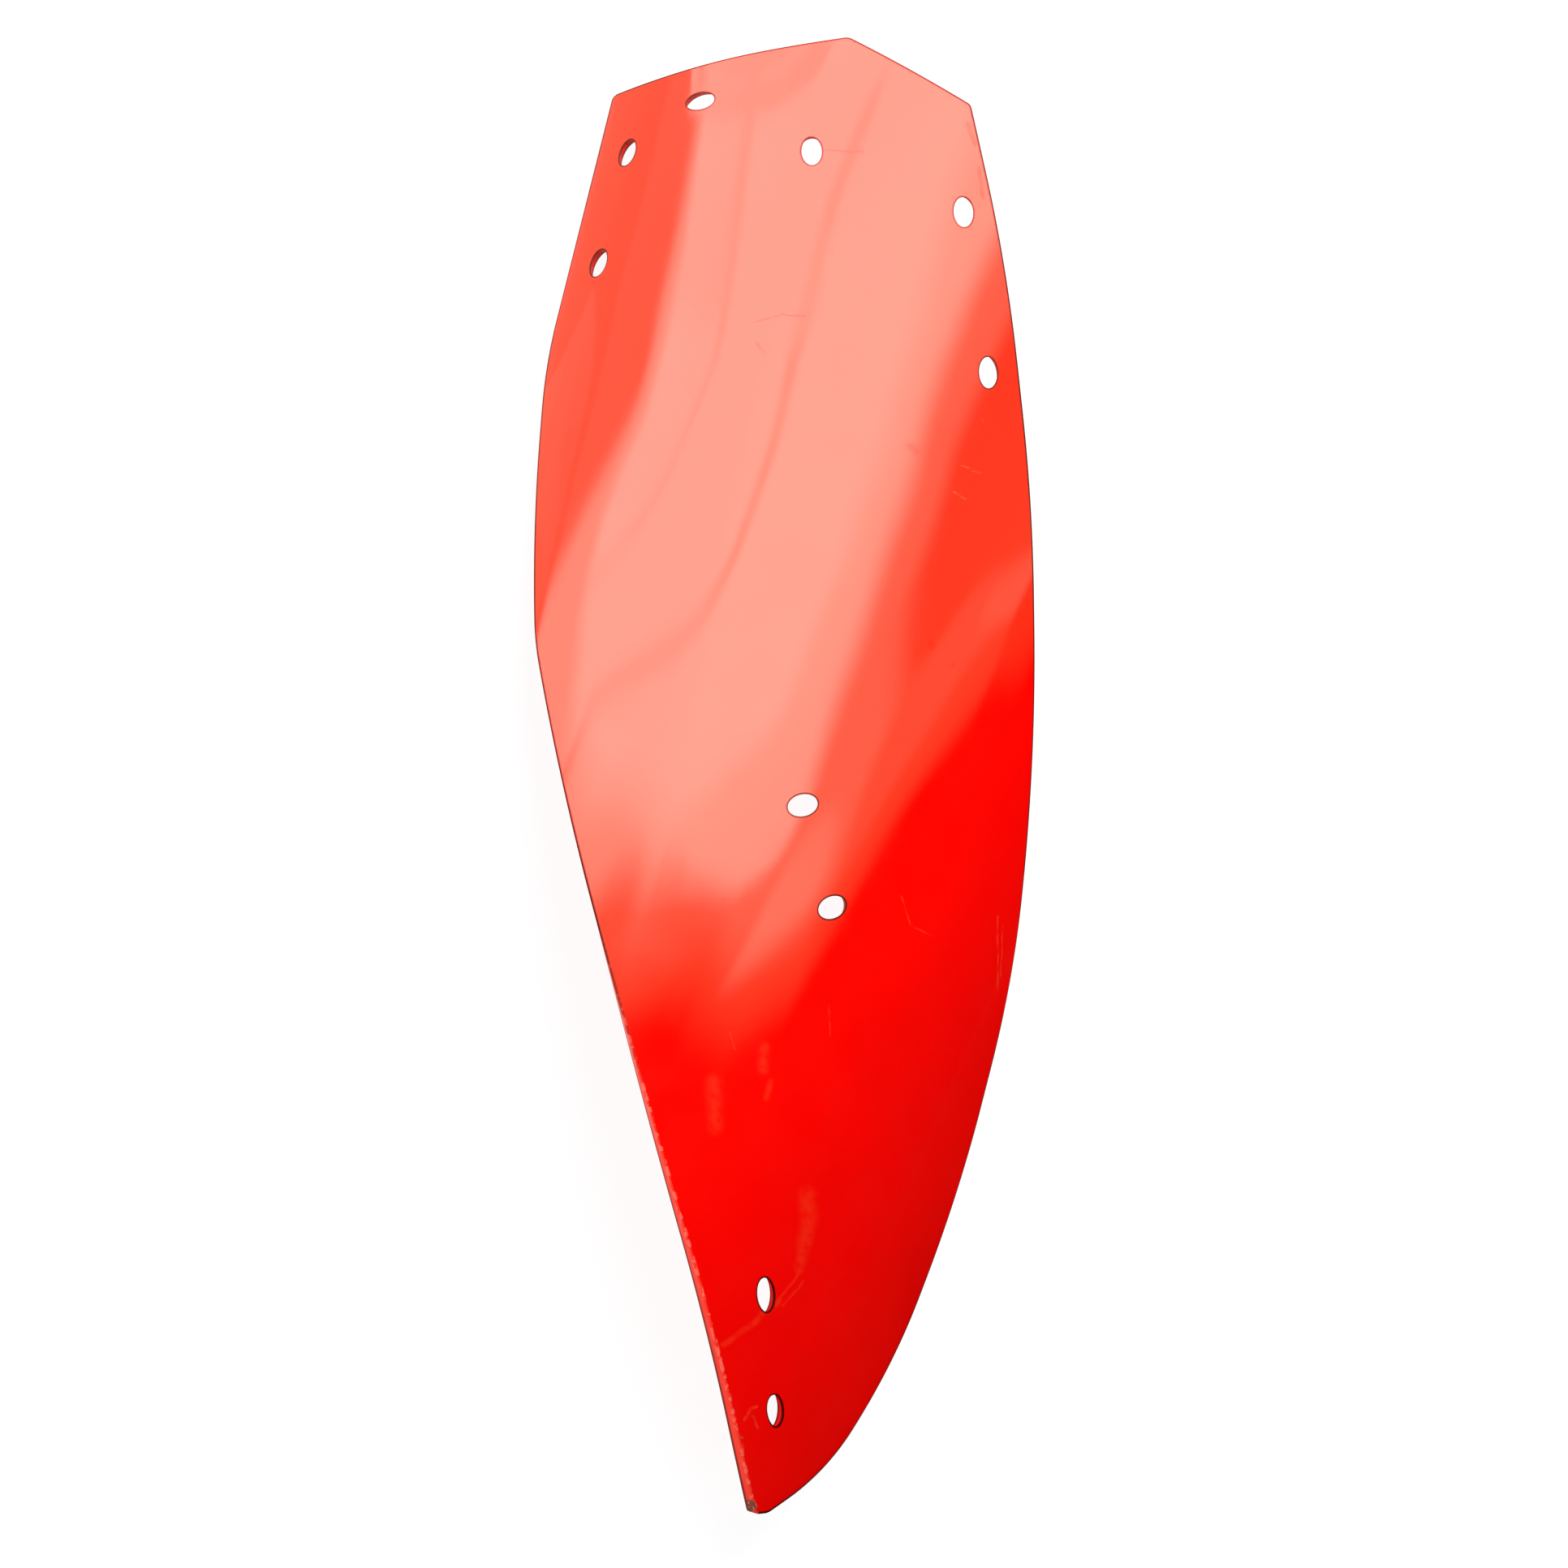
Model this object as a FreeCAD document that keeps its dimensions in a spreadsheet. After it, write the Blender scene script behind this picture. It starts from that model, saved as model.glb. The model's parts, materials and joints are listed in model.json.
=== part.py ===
# Right-hand plough mouldboard: one leaf-shaped plate, pressed from flat steel.
# Its face is the classic mouldboard surface. A straight level line slides up a rolled guide curve
# at the share edge and swings round a little as it climbs, so the plate rolls over and twists.
# Everything is drawn in the view square on to the hollow back of the work, which is the bulging
# side that the frog of the plough bolts to: +X right, +Y up and +Z towards the viewer.
# The finished plate is then laid down as it comes to rest on the ground, back upwards, +Z up.
# Lengths are in millimetres and angles in degrees.

import FreeCAD, Part
import math
import os
import Sketcher

NODE = "mouldboard"

doc = FreeCAD.newDocument("Mouldboard")
sizes = doc.addObject("Spreadsheet::Sheet", "Sizes")

# The leaf outline is a polygon of tangents with a round at every corner. Each row gives
# the corner's name, its place across and up the view, and the radius of its round.
# It starts at the foot of the shin and goes round by the share edge, the tail and the crown.
OUTLINE_CORNERS = [
    ("shin_foot", -120.5, 497.5, 6),
    ("share_front", -163.5, 289.0, 400),
    ("share_rear", -167.5, 170.0, 1450),
    ("share_heel", -163.0, 87.0, 210),
    ("rear_edge", -142.0, -13.5, 2600),
    ("rear_bow", -48.0, -349.5, 1650),
    ("wing_tip", -23.5, -472.0, 3.5),
    ("wing_toe", -16.0, -474.0, 6),
    ("wing_heel", 23.0, -460.5, 95),
    ("wing_run", 70.0, -402.5, 320),
    ("wing_flank", 117.0, -294.0, 850),
    ("wing_shoulder", 157.0, -145.0, 750),
    ("crown_rear", 172.0, 10.5, 1700),
    ("crown_middle", 170.0, 188.5, 1450),
    ("crown_front", 154.0, 355.5, 1350),
    ("brow", 131.5, 472.5, 18),
    ("point", 47.5, 523.0, 8),
    ("shin_bow", -40.5, 512.0, 1200),
]

# Each bolt hole is laid out on the surface: how far its guide point is turned, how far
# it lies along the straight line there, and how its long axis is turned from that line.
BOLT_HOLES = [
    ("shin_bolt_low", 36.9, -54.5, 90),
    ("share_bolt_front", 25.6, -20.8, 3),
    ("share_bolt_rear", 24.6, 71.4, 3),
    ("shin_bolt_high", 54.4, -11.8, 15),
    ("crown_bolt_front", 74.4, 12.2, 12),
    ("crown_bolt_rear", 81.7, 120.8, 12),
    ("stay_bolt_front", 70.9, 456.4, 121),
    ("stay_bolt_rear", 77.5, 516.0, 124),
    ("tail_bolt_front", 80.5, 769.2, 33),
    ("tail_bolt_rear", 85.8, 838.3, 44),
]

# Name, value and meaning of each driving dimension apart from those two lists.
DRIVING_DIMENSIONS = [
    ("plate_thickness", 8, "rolled plate before pressing"),
    ("share_angle", 20, "tilt of the face where it meets the share"),
    ("guide_radius", 250, "roll of the guide curve at the share edge"),
    ("guide_growth", 0.35, "growth of that radius for each radian turned"),
    ("swing_rate", 0.035, "swing of the straight line for each mm climbed"),
    ("first_turn", 12, "turn of the lowest straight line"),
    ("turn_step", 14, "turn between straight lines"),
    ("line_front", -170, "front end of every straight line"),
    ("line_rear", 980, "rear end of every straight line"),
    ("share_x", -131.2, "foot of the guide curve in the view"),
    ("share_y", 425.1, "foot of the guide curve in the view"),
    ("share_z", 48.3, "foot of the guide curve in the view"),
    ("share_yaw", -99.9, "share edge turned to run down the view"),
    ("share_pitch", -20.7, "share edge tipped towards the viewer"),
    ("share_roll", -26.9, "body rolled about the share edge"),
    ("cutter_height", 400, "depth of the trimming prism"),
    ("bolt_long", 22, "long axis of a bolt hole at the back"),
    ("bolt_short", 14, "short axis of a bolt hole at the back"),
    ("bolt_flare", 4, "growth all round to the working face"),
    ("cutter_clear", 3, "reach of a hole cutter past each face"),
    ("rest_yaw", -6.13, "plate laid on its share edge and wing"),
    ("rest_pitch", -25.5, "plate laid on its share edge and wing"),
    ("rest_roll", 14.14, "plate laid on its share edge and wing"),
    ("rest_x", 67.21, "puts the middle of the resting plate at the origin"),
    ("rest_y", 10.67, "puts the middle of the resting plate at the origin"),
    ("rest_z", -74.13, "puts the lowest edge on the ground"),
]

LINE_COUNT = 8


def fill_sheet():
    """Write every driving dimension into the sheet as a plain number with an alias."""
    rows = list(DRIVING_DIMENSIONS)
    for name, across, up, radius in OUTLINE_CORNERS:
        rows.append((name + "_across", across, "corner of the outline"))
        rows.append((name + "_up", up, "corner of the outline"))
        rows.append((name + "_round", radius, "radius of that corner"))
    for name, turn, run, slant in BOLT_HOLES:
        rows.append((name + "_turn", turn, "turn of the guide curve at the hole"))
        rows.append((name + "_run", run, "distance along the straight line"))
        rows.append((name + "_slant", slant, "long axis from the straight line"))
    for row, (alias, value, meaning) in enumerate(rows, start=1):
        sizes.set(f"A{row}", alias)
        sizes.set(f"B{row}", str(value))
        sizes.set(f"C{row}", meaning)
        sizes.setAlias(f"B{row}", alias)


def guide_height(turn):
    """Expression for the height of the guide curve above the share edge."""
    turned = f"(({turn} - Sizes.share_angle) * pi / 180)"
    return (f"Sizes.guide_radius * (Sizes.guide_growth * (sin({turn}) - sin(Sizes.share_angle))"
            f" + cos(Sizes.share_angle) - (1 + Sizes.guide_growth * {turned}) * cos({turn}))")


def guide_depth(turn):
    """Expression for the depth of the guide curve behind the share edge."""
    turned = f"(({turn} - Sizes.share_angle) * pi / 180)"
    return (f"Sizes.guide_radius * (Sizes.guide_growth * (cos({turn}) - cos(Sizes.share_angle))"
            f" - sin(Sizes.share_angle) + (1 + Sizes.guide_growth * {turned}) * sin({turn}))")


def swing(turn):
    """Expression for the angle by which the straight line has swung round."""
    return f"(Sizes.swing_rate * ({guide_height(turn)}))"


SHARE_PLACEMENT = (
    "create(<<placement>>; create(<<vector>>; Sizes.share_x; Sizes.share_y; Sizes.share_z);"
    " create(<<rotation>>; Sizes.share_yaw; Sizes.share_pitch; Sizes.share_roll))")


def straight_line(index):
    """One straight level line of the surface, at its own turn of the guide curve."""
    turn = f"(Sizes.first_turn + {index} * Sizes.turn_step)"
    line = doc.addObject("Part::Line", f"StraightLine{index:02d}")
    for end, along in (("1", "Sizes.line_front"), ("2", "Sizes.line_rear")):
        line.setExpression("X" + end, f"{along} * cos({swing(turn)})")
        line.setExpression("Y" + end, guide_height(turn))
        line.setExpression("Z" + end, f"{guide_depth(turn)} - {along} * sin({swing(turn)})")
    line.setExpression("Placement", SHARE_PLACEMENT)
    return line


def mould_surface():
    """The working face before trimming: a loft through all the straight lines."""
    surface = doc.addObject("Part::Loft", "MouldSurface")
    surface.Sections = [straight_line(index) for index in range(LINE_COUNT)]
    surface.Solid = False
    surface.Ruled = False
    return surface


def corner_point(index):
    """Corner of the outline polygon as a vector, counted round and round."""
    name, across, up, radius = OUTLINE_CORNERS[index % len(OUTLINE_CORNERS)]
    return FreeCAD.Vector(across, up, 0)


def round_at(index):
    """Start, end and centre of the round at one corner, and whether it bulges outwards."""
    here = corner_point(index)
    back = (corner_point(index - 1) - here).normalize()
    ahead = (corner_point(index + 1) - here).normalize()
    radius = OUTLINE_CORNERS[index % len(OUTLINE_CORNERS)][3]
    half_angle = back.getAngle(ahead) / 2
    reach = radius / math.tan(half_angle)
    centre = here + (back + ahead).normalize() * (radius / math.sin(half_angle))
    bulges = ahead.cross(back).z > 0
    return here + back * reach, here + ahead * reach, centre, bulges


def arc_between(start, end, centre):
    """Arc that runs counter-clockwise from start to end about the centre."""
    upright = FreeCAD.Vector(0, 0, 1)
    circle = Part.Circle(centre, upright, start.distanceToPoint(centre))
    first = math.atan2(start.y - centre.y, start.x - centre.x)
    last = math.atan2(end.y - centre.y, end.x - centre.x)
    return Part.ArcOfCircle(circle, first, last)


def outline_geometry():
    """Sides of the outline, and the rounds between them, in two lists."""
    sides = []
    rounds = []
    for index in range(len(OUTLINE_CORNERS)):
        start, end, centre, bulges = round_at(index)
        sides.append(Part.LineSegment(end, round_at(index + 1)[0]))
        rounds.append(arc_between(start, end, centre) if bulges else arc_between(end, start, centre))
    return sides, rounds


def outline_sketch():
    """Leaf outline: sides that aim at the named corners, with a tangent round at each."""
    sketch = doc.addObject("Sketcher::SketchObject", "LeafOutline")
    count = len(OUTLINE_CORNERS)
    sides, rounds = outline_geometry()
    sketch.addGeometry(sides + rounds, False)
    sketch.addGeometry([Part.Point(corner_point(index)) for index in range(count)], True)
    start, end, origin = 1, 2, -1
    constraints = []
    bindings = []
    for index, (name, across, up, radius) in enumerate(OUTLINE_CORNERS):
        side_before = (index - 1) % count
        arc = count + index
        corner = 2 * count + index
        bulges = round_at(index)[3]
        arc_first, arc_last = (start, end) if bulges else (end, start)
        constraints += [
            Sketcher.Constraint("Tangent", side_before, end, arc, arc_first),
            Sketcher.Constraint("Tangent", arc, arc_last, index, start),
            Sketcher.Constraint("PointOnObject", corner, start, side_before),
            Sketcher.Constraint("PointOnObject", corner, start, index),
        ]
        bindings.append((len(constraints), f"Sizes.{name}_across"))
        constraints.append(Sketcher.Constraint("DistanceX", origin, start, corner, start, across))
        bindings.append((len(constraints), f"Sizes.{name}_up"))
        constraints.append(Sketcher.Constraint("DistanceY", origin, start, corner, start, up))
        bindings.append((len(constraints), f"Sizes.{name}_round"))
        constraints.append(Sketcher.Constraint("Radius", arc, radius))
    sketch.addConstraint(constraints)
    for number, expression in bindings:
        sketch.setExpression(f"Constraints[{number}]", expression)
    return sketch


def trimmed_face():
    """Working face inside the outline, sheared square to the view."""
    prism = doc.addObject("Part::Extrusion", "TrimmingPrism")
    prism.Base = outline_sketch()
    prism.DirMode = "Custom"
    prism.Dir = FreeCAD.Vector(0, 0, 1)
    prism.Solid = True
    prism.setExpression("LengthFwd", "Sizes.cutter_height")
    face = doc.addObject("Part::MultiCommon", "WorkingFace")
    face.Shapes = [mould_surface(), prism]
    return face


def thick_plate():
    """The plate: the working face thickened towards the viewer, with square edges."""
    plate = doc.addObject("Part::Offset", "ThickPlate")
    plate.Source = trimmed_face()
    plate.setExpression("Value", "Sizes.plate_thickness")
    plate.Fill = True
    return plate


def hole_placement(name, lift):
    """Expression that stands a hole's own frame on the surface, lifted along its normal."""
    turn = f"Sizes.{name}_turn"
    run = f"Sizes.{name}_run"
    turned = f"(({turn} - Sizes.share_angle) * pi / 180)"
    radius = f"(Sizes.guide_radius * (1 + Sizes.guide_growth * {turned}))"
    climb = f"({radius} * sin({turn}))"
    recede = (f"({radius} * cos({turn}) * cos({swing(turn)})"
              f" - {run} * Sizes.swing_rate * pi / 180 * {climb})")
    spot = (f"create(<<vector>>; {run} * cos({swing(turn)}); {guide_height(turn)};"
            f" {guide_depth(turn)} - {run} * sin({swing(turn)}))")
    facing = f"create(<<rotation>>; 0; {swing(turn)}; atan2({recede}; {climb}))"
    upright = f"create(<<placement>>; {spot}; {facing})"
    slanted = (f"create(<<placement>>; create(<<vector>>; 0; 0; {lift});"
               f" create(<<rotation>>; Sizes.{name}_slant; 0; 0))")
    return f"{SHARE_PLACEMENT} * {upright} * {slanted}"


def oval(name, end, lift, growth):
    """One oval section of a hole cutter, at a height above the working face."""
    section = doc.addObject("Part::Ellipse", name + end)
    section.setExpression("MajorRadius", f"Sizes.bolt_long / 2 + {growth}")
    section.setExpression("MinorRadius", f"Sizes.bolt_short / 2 + {growth}")
    section.setExpression("Placement", hole_placement(name, lift))
    return section


def hole_cutter(name):
    """Oval countersunk hole for a square-necked plough bolt, wider on the working face."""
    past = "Sizes.cutter_clear"
    slope = "Sizes.bolt_flare / Sizes.plate_thickness"
    inner = oval(name, "_face", f"0 - {past}", f"Sizes.bolt_flare + {slope} * {past}")
    outer = oval(name, "_back", f"Sizes.plate_thickness + {past}", f"0 - {slope} * {past}")
    cutter = doc.addObject("Part::Loft", name)
    cutter.Sections = [inner, outer]
    cutter.Solid = True
    cutter.Ruled = True
    return cutter


def drilled_plate():
    """The plate with its ten bolt holes punched square to its surface."""
    cutters = doc.addObject("Part::Compound", "HoleCutters")
    cutters.Links = [hole_cutter(name) for name, turn, run, slant in BOLT_HOLES]
    drilled = doc.addObject("Part::Cut", "DrilledPlate")
    drilled.Base = thick_plate()
    drilled.Tool = cutters
    return drilled


def resting_plate():
    """The finished mouldboard, laid down as it comes to rest."""
    body = doc.addObject("PartDesign::Body", "Mouldboard")
    body.Label = NODE
    body.BaseFeature = drilled_plate()
    body.setExpression("Placement", (
        "create(<<placement>>; create(<<vector>>; Sizes.rest_x; Sizes.rest_y; Sizes.rest_z);"
        " create(<<rotation>>; Sizes.rest_yaw; Sizes.rest_pitch; Sizes.rest_roll))"))
    return body


def check_document():
    """Stop if any object failed to recompute."""
    for item in doc.Objects:
        if {"Invalid", "Error"} & set(item.State):
            raise RuntimeError(f"{item.Name} failed: {item.State}")


def export_node(node):
    """Check one sub-part's shape and write it to its own file."""
    shape = node.Shape
    if shape.isNull() or not shape.isValid() or len(shape.Solids) != 1:
        raise RuntimeError(f"{node.Label} is not one valid solid")
    box = shape.optimalBoundingBox(False, False)
    print(f"{node.Label}: {box.XLength:.1f} x {box.YLength:.1f} x {box.ZLength:.1f} mm,"
          f" lowest point {box.ZMin:.2f}, volume {shape.Volume / 1000:.1f} cm3")
    shape.exportStep(os.path.join("parts", node.Label + ".step"))


fill_sheet()
doc.recompute()
plate = resting_plate()
doc.recompute()
check_document()
os.makedirs("parts", exist_ok=True)
export_node(plate)
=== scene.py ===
# %% [markdown]
# A plough mouldboard is the leaf-shaped steel plate that lifts and turns the furrow. It is cut from
# 8 mm plate, punched with oval holes, pressed to a rolled and twisted surface, and then painted.
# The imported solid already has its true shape. What it lacks is what a hand would feel: dulled
# arrises, a slightly wavy face, gloss enamel and its chips. So one finer mesh of the same plate is
# worked out here from the same few dimensions and stands in for the plain solid.

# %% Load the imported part
import json
import math

import bmesh
import bpy
import numpy as np
from mathutils import Matrix, Vector
from mathutils.geometry import delaunay_2d_cdt

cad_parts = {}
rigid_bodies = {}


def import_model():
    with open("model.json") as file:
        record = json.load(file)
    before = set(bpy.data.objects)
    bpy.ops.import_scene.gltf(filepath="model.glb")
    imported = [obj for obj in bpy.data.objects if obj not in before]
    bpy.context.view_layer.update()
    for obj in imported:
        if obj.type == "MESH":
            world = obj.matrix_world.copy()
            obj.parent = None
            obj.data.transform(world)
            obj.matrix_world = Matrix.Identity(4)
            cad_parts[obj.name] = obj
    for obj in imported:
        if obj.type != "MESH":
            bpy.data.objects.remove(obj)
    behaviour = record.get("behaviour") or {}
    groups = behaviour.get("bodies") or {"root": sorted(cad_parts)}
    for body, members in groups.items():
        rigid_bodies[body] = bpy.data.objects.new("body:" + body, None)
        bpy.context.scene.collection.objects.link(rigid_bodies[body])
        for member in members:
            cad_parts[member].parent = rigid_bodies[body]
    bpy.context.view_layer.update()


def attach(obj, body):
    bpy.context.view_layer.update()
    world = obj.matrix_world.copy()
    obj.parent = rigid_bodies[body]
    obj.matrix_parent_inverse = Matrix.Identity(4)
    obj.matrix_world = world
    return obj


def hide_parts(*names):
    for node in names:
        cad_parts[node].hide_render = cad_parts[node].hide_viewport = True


for leftover in list(bpy.data.objects):
    bpy.data.objects.remove(leftover)
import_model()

# %% [markdown]
# The plate is drawn in the view square on to its bulging back: X to the right, Y up and Z towards
# the viewer, in millimetres. Afterwards it is laid down as it rests on the ground. Yaw, pitch and
# roll turn about Z, Y and X, and one small helper makes both of the placements that are needed.

# %% Two placements
MM = 0.001


def turned(yaw, pitch, roll):
    """Rotation matrix for yaw about Z, pitch about Y and roll about X, in degrees."""
    turns = (("Z", yaw), ("Y", pitch), ("X", roll))
    matrix = Matrix.Identity(3)
    for axis, angle in turns:
        matrix = matrix @ Matrix.Rotation(math.radians(angle), 3, axis)
    return np.array(matrix)


SHARE_TURN = turned(-99.9, -20.7, -26.9)
SHARE_FOOT = np.array([-131.2, 425.1, 48.3])
REST_TURN = turned(-6.13, -25.5, 14.14)
REST_PLACE = np.array([67.21, 10.67, -74.13])


def at_rest(points):
    """Points of the square view, in millimetres, as metres in the resting part's frame."""
    return (points @ REST_TURN.T + REST_PLACE) * MM


print("the view looks along", np.round(-REST_TURN[:, 2], 3))

# %% [markdown]
# The face of a mouldboard is swept by a straight level line, as a ruler sliding up a curved ramp.
# The ramp, or guide curve, rolls back with a radius that grows as it turns, and the line swings
# round a little as it climbs, which gives the plate its twist. One formula gives every point of
# the working face, and its two slopes give the direction that the face looks in. With a formula,
# each vertex and each normal is exact, so that reflections stay clean.

# %% The mould surface
PLATE_THICKNESS = 8.0
SHARE_ANGLE = math.radians(20)
GUIDE_RADIUS = 250.0
GUIDE_GROWTH = 0.35
SWING_RATE = math.radians(0.035)


def mould_surface(turn, run):
    """Points and unit normals of the working face, for turns in radians and runs in mm."""
    growth = 1 + GUIDE_GROWTH * (turn - SHARE_ANGLE)
    height = GUIDE_RADIUS * (GUIDE_GROWTH * (np.sin(turn) - math.sin(SHARE_ANGLE))
                             + math.cos(SHARE_ANGLE) - growth * np.cos(turn))
    depth = GUIDE_RADIUS * (GUIDE_GROWTH * (np.cos(turn) - math.cos(SHARE_ANGLE))
                            - math.sin(SHARE_ANGLE) + growth * np.sin(turn))
    swing = SWING_RATE * height
    points = np.stack([run * np.cos(swing), height, depth - run * np.sin(swing)], -1)
    climb = GUIDE_RADIUS * growth * np.sin(turn)
    recede = GUIDE_RADIUS * growth * np.cos(turn)
    along = np.stack([np.cos(swing), 0 * swing, -np.sin(swing)], -1)
    across = np.stack([-run * np.sin(swing) * SWING_RATE * climb, climb,
                       recede - run * np.cos(swing) * SWING_RATE * climb], -1)
    normals = np.cross(along, across)
    normals /= np.linalg.norm(normals, axis=-1, keepdims=True)
    return points @ SHARE_TURN.T + SHARE_FOOT, normals @ SHARE_TURN.T


def guide_length(turn):
    """Length along the guide curve from the share edge, in millimetres."""
    turned_by = turn - SHARE_ANGLE
    return GUIDE_RADIUS * turned_by * (1 + GUIDE_GROWTH * turned_by / 2)


def guide_turn(length):
    """Turn of the guide curve at a length along it: the other way round."""
    return SHARE_ANGLE + (np.sqrt(1 + 2 * GUIDE_GROWTH * length / GUIDE_RADIUS) - 1) / GUIDE_GROWTH


TURN_RANGE = np.radians([15.0, 111.0])
RUN_RANGE = (-125.0, 920.0)
print("guide curve is", np.round(guide_length(TURN_RANGE), 1), "mm along its length")

# %% [markdown]
# Real pressings aren't perfectly fair. The die leaves long shallow waves too small to see, yet
# gloss paint shows them, because a tilt of a quarter of a degree moves a reflection. Here they are
# true shape: a few long sine waves laid over each other.

# %% Waves left by the press
WAVE_SEED = 11
WAVE_COUNT = 14
WAVE_HEIGHT = 0.05
WAVE_LENGTHS = (55.0, 190.0)

chance = np.random.default_rng(WAVE_SEED)
wave_angles = chance.uniform(0, math.pi, WAVE_COUNT)
wave_lengths = chance.uniform(*WAVE_LENGTHS, WAVE_COUNT)
wave_starts = chance.uniform(0, 2 * math.pi, WAVE_COUNT)


def unevenness(points):
    """How far the pressed face stands off the true surface at each point, in millimetres."""
    across, up = points[..., 0], points[..., 1]
    rise = np.zeros(across.shape)
    for angle, length, start in zip(wave_angles, wave_lengths, wave_starts):
        phase = 2 * math.pi * (across * math.cos(angle) + up * math.sin(angle)) / length + start
        rise += WAVE_HEIGHT * length / WAVE_LENGTHS[1] * np.sin(phase)
    return rise


def pressed_face(turn, run, level):
    """Points of the plate at a level above the working face, waves included."""
    points, normals = mould_surface(turn, run)
    return points + normals * (level + unevenness(points))[..., None]


def pressed_normals(turn, run, level):
    """Directions that the pressed face looks in, from two small steps along it."""
    turn_step = 0.002
    run_step = 0.5
    across = pressed_face(turn + turn_step, run, level) - pressed_face(turn - turn_step, run, level)
    along = pressed_face(turn, run + run_step, level) - pressed_face(turn, run - run_step, level)
    normals = np.cross(along, across)
    return normals / np.linalg.norm(normals, axis=-1, keepdims=True)


def settle(targets, level, rounds=7):
    """Turn and run at which the plate, at one level, lies under points of the square view."""
    grid_turn, grid_run = np.meshgrid(np.linspace(*TURN_RANGE, 33), np.linspace(*RUN_RANGE, 65))
    grid_turn, grid_run = grid_turn.ravel(), grid_run.ravel()
    spots, looks = mould_surface(grid_turn, grid_run)
    spots = (spots + level * looks)[:, :2]
    nearest = [np.argmin(((spots - target) ** 2).sum(1)) for target in targets[:, :2]]
    turn, run = grid_turn[nearest], grid_run[nearest]
    for _ in range(rounds):
        spots, looks = mould_surface(turn, run)
        here = (spots + level * looks)[:, :2]
        spots, looks = mould_surface(turn + 1e-4, run)
        by_turn = ((spots + level * looks)[:, :2] - here) / 1e-4
        spots, looks = mould_surface(turn, run + 0.01)
        by_run = ((spots + level * looks)[:, :2] - here) / 0.01
        slopes = np.stack([by_turn, by_run], -1)
        step = np.linalg.solve(slopes, (targets[:, :2] - here)[..., None])[..., 0]
        turn, run = turn + step[:, 0], run + step[:, 1]
    return turn, run


# %% [markdown]
# The leaf outline is a polygon of tangents with a round at every corner, the same that the solid
# was cut to. Walking round it gives a closed string of points, close together only where it bends
# sharply, at the point, the brow, the shin foot and the wing tip.

# %% The leaf outline
OUTLINE_CORNERS = {
    "shin_foot": (-120.5, 497.5, 6),
    "share_front": (-163.5, 289.0, 400),
    "share_rear": (-167.5, 170.0, 1450),
    "share_heel": (-163.0, 87.0, 210),
    "rear_edge": (-142.0, -13.5, 2600),
    "rear_bow": (-48.0, -349.5, 1650),
    "wing_tip": (-23.5, -472.0, 3.5),
    "wing_toe": (-16.0, -474.0, 6),
    "wing_heel": (23.0, -460.5, 95),
    "wing_run": (70.0, -402.5, 320),
    "wing_flank": (117.0, -294.0, 850),
    "wing_shoulder": (157.0, -145.0, 750),
    "crown_rear": (172.0, 10.5, 1700),
    "crown_middle": (170.0, 188.5, 1450),
    "crown_front": (154.0, 355.5, 1350),
    "brow": (131.5, 472.5, 6),
    "point": (47.5, 523.0, 8),
    "shin_bow": (-40.5, 512.0, 1200),
}
EDGE_STEP = 4.0
ROUND_STEP = math.radians(7)
SMALLEST_GAP = 0.4


def outline_points():
    """Points round the leaf outline, counter-clockwise."""
    corners = [np.array(values[:2]) for values in OUTLINE_CORNERS.values()]
    radii = [values[2] for values in OUTLINE_CORNERS.values()]
    rounds = []
    for index, (corner, radius) in enumerate(zip(corners, radii)):
        back = corners[index - 1] - corner
        ahead = corners[(index + 1) % len(corners)] - corner
        back, ahead = back / np.linalg.norm(back), ahead / np.linalg.norm(ahead)
        half_angle = math.acos(back @ ahead) / 2
        reach = radius / math.tan(half_angle)
        middle = (back + ahead) / np.linalg.norm(back + ahead)
        centre = corner + middle * radius / math.sin(half_angle)
        sweep = math.pi - 2 * half_angle
        count = max(2, round(max(radius * sweep / EDGE_STEP, sweep / ROUND_STEP)))
        first, last = corner + back * reach - centre, corner + ahead * reach - centre
        shares = np.linspace(0, 1, count + 1)[:, None]
        blend = (np.sin((1 - shares) * sweep) * first + np.sin(shares * sweep) * last)
        rounds.append(centre + blend / math.sin(sweep))
    points = []
    for index, here in enumerate(rounds):
        following = rounds[(index + 1) % len(rounds)][0]
        gap = np.linalg.norm(following - here[-1])
        shares = np.arange(1, round(gap / EDGE_STEP)) / max(1, round(gap / EDGE_STEP))
        points.extend(here)
        points.extend(here[-1] + (following - here[-1]) * share for share in shares)
    points = np.array(points)
    gaps = np.linalg.norm(points - np.roll(points, 1, 0), axis=1)
    return points[gaps > SMALLEST_GAP]


outline = outline_points()
print("outline of", len(outline), "points")

# %% [markdown]
# Each oval bolt hole is punched square to the plate and flares towards the working face, for the
# oval head of a plough bolt. Its rims are where the flared wall meets the two faces, so each rim
# point slides along the wall until it lies on the face, which takes a few short steps.

# %% Rims of the bolt holes
BOLT_HOLES = {
    "shin_bolt_low": (36.9, -54.5, 90),
    "share_bolt_front": (25.6, -20.8, 3),
    "share_bolt_rear": (24.6, 71.4, 3),
    "shin_bolt_high": (54.4, -11.8, 15),
    "crown_bolt_front": (74.4, 12.2, 12),
    "crown_bolt_rear": (81.7, 120.8, 12),
    "stay_bolt_front": (70.9, 456.4, 121),
    "stay_bolt_rear": (77.5, 516.0, 124),
    "tail_bolt_front": (80.5, 769.2, 33),
    "tail_bolt_rear": (85.8, 838.3, 44),
}
BOLT_LONG = 22.0
BOLT_SHORT = 14.0
BOLT_FLARE = 4.0
RIM_POINTS = 56


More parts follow.
